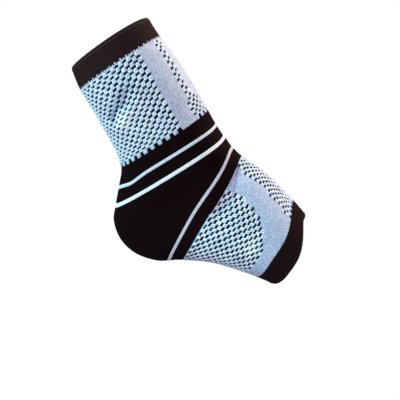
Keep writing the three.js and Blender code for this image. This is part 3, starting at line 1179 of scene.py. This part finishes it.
def makeStripe(name, seam, slotName, material, ribDepth):
    width, (half, top) = sleeve[seam], stripes["slope"]

    def edgeRows(around):
        wale = (around * knit["repeats"] * knit["walesPerRepeat"]) % 1
        step = stripes["stepDepth"] * (1 - (2 * wale - 1) ** 2)
        edge = width / 2 + step - stripes["stepDepth"] / 2
        proud = stripes["proud"]
        return [(-edge, -stripes["sink"]), (half - edge, proud / 2), (top - edge, proud)]

    return knitTube({
        "name": name, "from": seam, "to": seam, "slot": slotName,
        "columns": stripes["columns"], "rows": 4, "wall": sleeve["knitWall"],
        "startRows": edgeRows, "endRows": lambda around: mirrored(edgeRows(around)),
        "map": plainMap, "relief": waleRelief(ribDepth), "material": material,
        "liningLeads": (-width / 2, width / 2), "liningRows": 1,
    })


makeStripe("stripe_upper", "upperStripe", "blue_stripe", blueStripe, ribDepth=0.06 * mm)
makeStripe("stripe_middle", "middleStripe", "white_stripe", whiteStripe, ribDepth=0.22 * mm)
makeStripe("stripe_lower", "lowerStripe", "grey_stripe", greyStripe, ribDepth=0.05 * mm)


# Cuffs

cuffs = {
    "ribs": 96,
    "columnsPerRib": 6,
    "ribDepth": 0.16 * mm,
    "foldRows": 5,
    "hemPlace": 2.0 * mm,
    "hemHeight": 0.42 * mm,
    "hemWidth": 0.34 * mm,
    "groovePlace": 2.7 * mm,
    "grooveDepth": 0.3 * mm,
    "grooveWidth": 0.35 * mm,
    "ribStart": (0.5 * mm, 3.5 * mm),  # distances from the rim between which the ribs rise
    "hemRows": 14,
    "hemSpacing": 0.2 * mm,
}


def foldRows(wall, inner=False):
    # from the rim's outermost line up on to the outer face, or down on to the lining
    radius = wall / 2
    rows = []
    for step in range(cuffs["foldRows"] + 1):
        turn = math.radians(90 * step / cuffs["foldRows"])
        lead = radius * (1 - math.cos(turn))
        height = radius * math.sin(turn)
        rows.append((lead, -radius - height if inner else -radius + height))
    return rows


def rimRows(wall):
    # the folded rim and the close rows that carry the hem line
    steps = range(1, cuffs["hemRows"] + 1)
    return [*foldRows(wall), *((wall / 2 + cuffs["hemSpacing"] * step, 0.0) for step in steps)]


def cuffRelief(outwards):
    # ribs, the raised hem line and the groove beside it; outwards is 1 where the first row is the rim
    def relief(u, v, skin):
        rib = (u / knit["repeats"] * cuffs["ribs"]) % 1
        ribHeight = cuffs["ribDepth"] * (1 - (2 * rib - 1) ** 2 * 2)
        down = v * knit["rowHeight"]
        fromRim = down if outwards > 0 else down[-1:] - down
        fromRim = fromRim - math.pi / 4 * sleeve["cuffWall"] + sleeve["cuffWall"] / 2
        hem = np.exp(-((fromRim - cuffs["hemPlace"]) / cuffs["hemWidth"]) ** 2)
        groove = np.exp(-((fromRim - cuffs["groovePlace"]) / cuffs["grooveWidth"]) ** 2)
        height = ribHeight * smoothStep(fromRim, *cuffs["ribStart"])
        height = height + cuffs["hemHeight"] * hem - cuffs["grooveDepth"] * groove
        # the hem's share picks the cuff knit's lighter painted highlight colour
        return {"plain": 1 - hem}, height
    return relief


def makeLegCuff():
    wall = sleeve["cuffWall"]
    return knitTube({
        "name": "leg_cuff", "from": "legRim", "to": "cuffEdge", "slot": "cuff_knit",
        "columns": cuffs["ribs"] * cuffs["columnsPerRib"], "rows": 24, "wall": wall,
        "startRows": lambda around: rimRows(wall),
        "endRows": turnedUnder(0.3 * mm, 0.12 * mm),
        "map": plainMap, "relief": cuffRelief(1), "material": cuffKnit,
        "liningStart": foldRows(wall, inner=True), "liningColumns": 192, "liningRows": 8,
    })


def makeToeCuff():
    wall = sleeve["cuffWall"]
    return knitTube({
        "name": "toe_cuff", "from": "toeCuffEdge", "to": "toeRim", "slot": "cuff_knit",
        "columns": cuffs["ribs"] * cuffs["columnsPerRib"], "rows": 16, "wall": wall,
        "startRows": underNotches(footPanel["notchDepth"]),
        "endRows": lambda around: mirrored(rimRows(wall)),
        "map": plainMap, "relief": cuffRelief(-1), "material": toeCuffKnit,
        "liningEnd": mirrored(foldRows(wall, inner=True)), "liningColumns": 192, "liningRows": 6,
    })


makeLegCuff()
makeToeCuff()


# Floor

def addFloor(setup):
    # a plain white floor whose bounce is kept low, so that the underside stays in shade
    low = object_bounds()[0]
    bpy.ops.mesh.primitive_plane_add(size=setup["floorSize"])
    floor = bpy.context.object
    floor.name = "floor"
    floor.location = (0, 0, low.z - setup["floorDrop"])
    sheet = NodeSheet("pale_floor")
    sheet.shader.inputs["Base Color"].default_value = (*setup["floorBounce"], 1)
    sheet.shader.inputs["Roughness"].default_value = 0.9
    sheet.shader.inputs["Specular IOR Level"].default_value = 0.1
    path = sheet.add("ShaderNodeLightPath")
    white = sheet.add("ShaderNodeEmission")
    white.inputs["Color"].default_value = (*setup["backdrop"], 1)
    blend = sheet.add("ShaderNodeMixShader")
    sheet.link(path.outputs["Is Camera Ray"], blend.inputs[0])
    sheet.link(sheet.shader.outputs[0], blend.inputs[1])
    sheet.link(white.outputs[0], blend.inputs[2])
    sheet.link(blend.outputs[0], sheet.output.inputs["Surface"])
    floor.data.materials.append(sheet.material)
    floor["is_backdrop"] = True


addFloor(studio)

print("sleeve finished")
